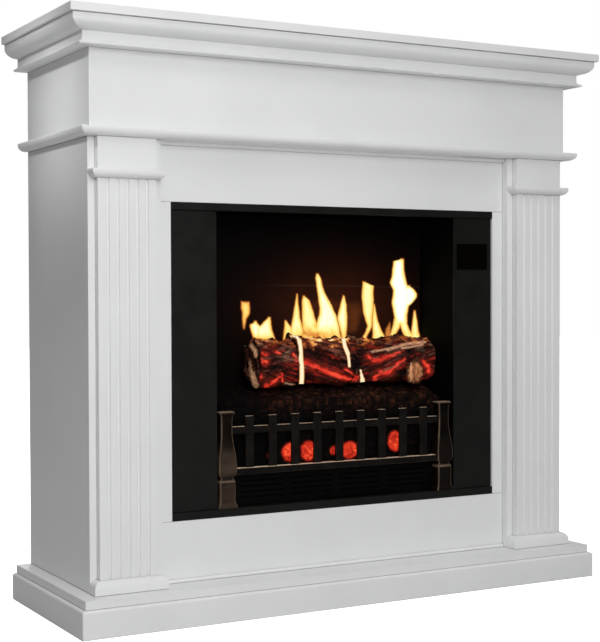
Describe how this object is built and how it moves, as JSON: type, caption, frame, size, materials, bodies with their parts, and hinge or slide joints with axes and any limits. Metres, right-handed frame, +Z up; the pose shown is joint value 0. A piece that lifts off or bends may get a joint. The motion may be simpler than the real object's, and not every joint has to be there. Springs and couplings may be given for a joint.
{
  "type": "fireplace mantelpiece",
  "caption": "Free-standing white painted fireplace surround with fluted pilasters and a moulded shelf, holding a black electric log fire.",
  "frame": {"origin": "on the floor, in the middle of the whole object's width and depth", "axes": "+X to the right seen from the front, +Y to the back, towards the wall, +Z up"},
  "size_m": [1.12, 0.378, 1.056],
  "materials": {
    "white_paint": "satin white paint on fibreboard",
    "black_steel": "satin black",
    "display": "gloss black",
    "case_steel": "plain galvanised",
    "liner": "matt black",
    "screen": "dark panel that shows flames",
    "grate_iron": "dark bronze black",
    "embers": "charcoal with glowing patches",
    "bark": "moulded bark with glowing cracks"
  },
  "bodies": {
    "root": {"plinth_front": "white_paint", "plinth_left": "white_paint", "plinth_right": "white_paint", "hearth_board": "white_paint", "shelf": "white_paint", "crown_front": "white_paint", "crown_left": "white_paint", "crown_right": "white_paint", "neck_front": "white_paint", "neck_left": "white_paint", "neck_right": "white_paint", "frieze_front": "white_paint", "frieze_left": "white_paint", "frieze_right": "white_paint", "leg_front_left": "white_paint", "leg_front_right": "white_paint", "side_left": "white_paint", "side_right": "white_paint", "pilaster_left": "white_paint", "pilaster_right": "white_paint", "capital_bead_left": "white_paint", "capital_bead_right": "white_paint", "pilaster_base_left": "white_paint", "pilaster_base_right": "white_paint", "field_top_rail": "white_paint", "field_bottom_rail": "white_paint", "field_stile_left": "white_paint", "field_stile_right": "white_paint", "head_bead": "white_paint", "foot_bead": "white_paint", "fascia_top": "black_steel", "fascia_bottom": "black_steel", "fascia_left": "black_steel", "fascia_right": "black_steel", "vent_panel": "black_steel", "display_window": "display", "case_left": "case_steel", "case_right": "case_steel", "case_floor": "case_steel", "case_top": "case_steel", "case_back": "case_steel", "liner_left": "liner", "liner_right": "liner", "flame_screen": "screen", "grate_front": "grate_iron", "grate_post_left": "grate_iron", "grate_post_right": "grate_iron", "ember_bed": "embers", "log_left": "bark", "log_centre": "bark", "log_right": "bark"}
  },
  "joints": []
}
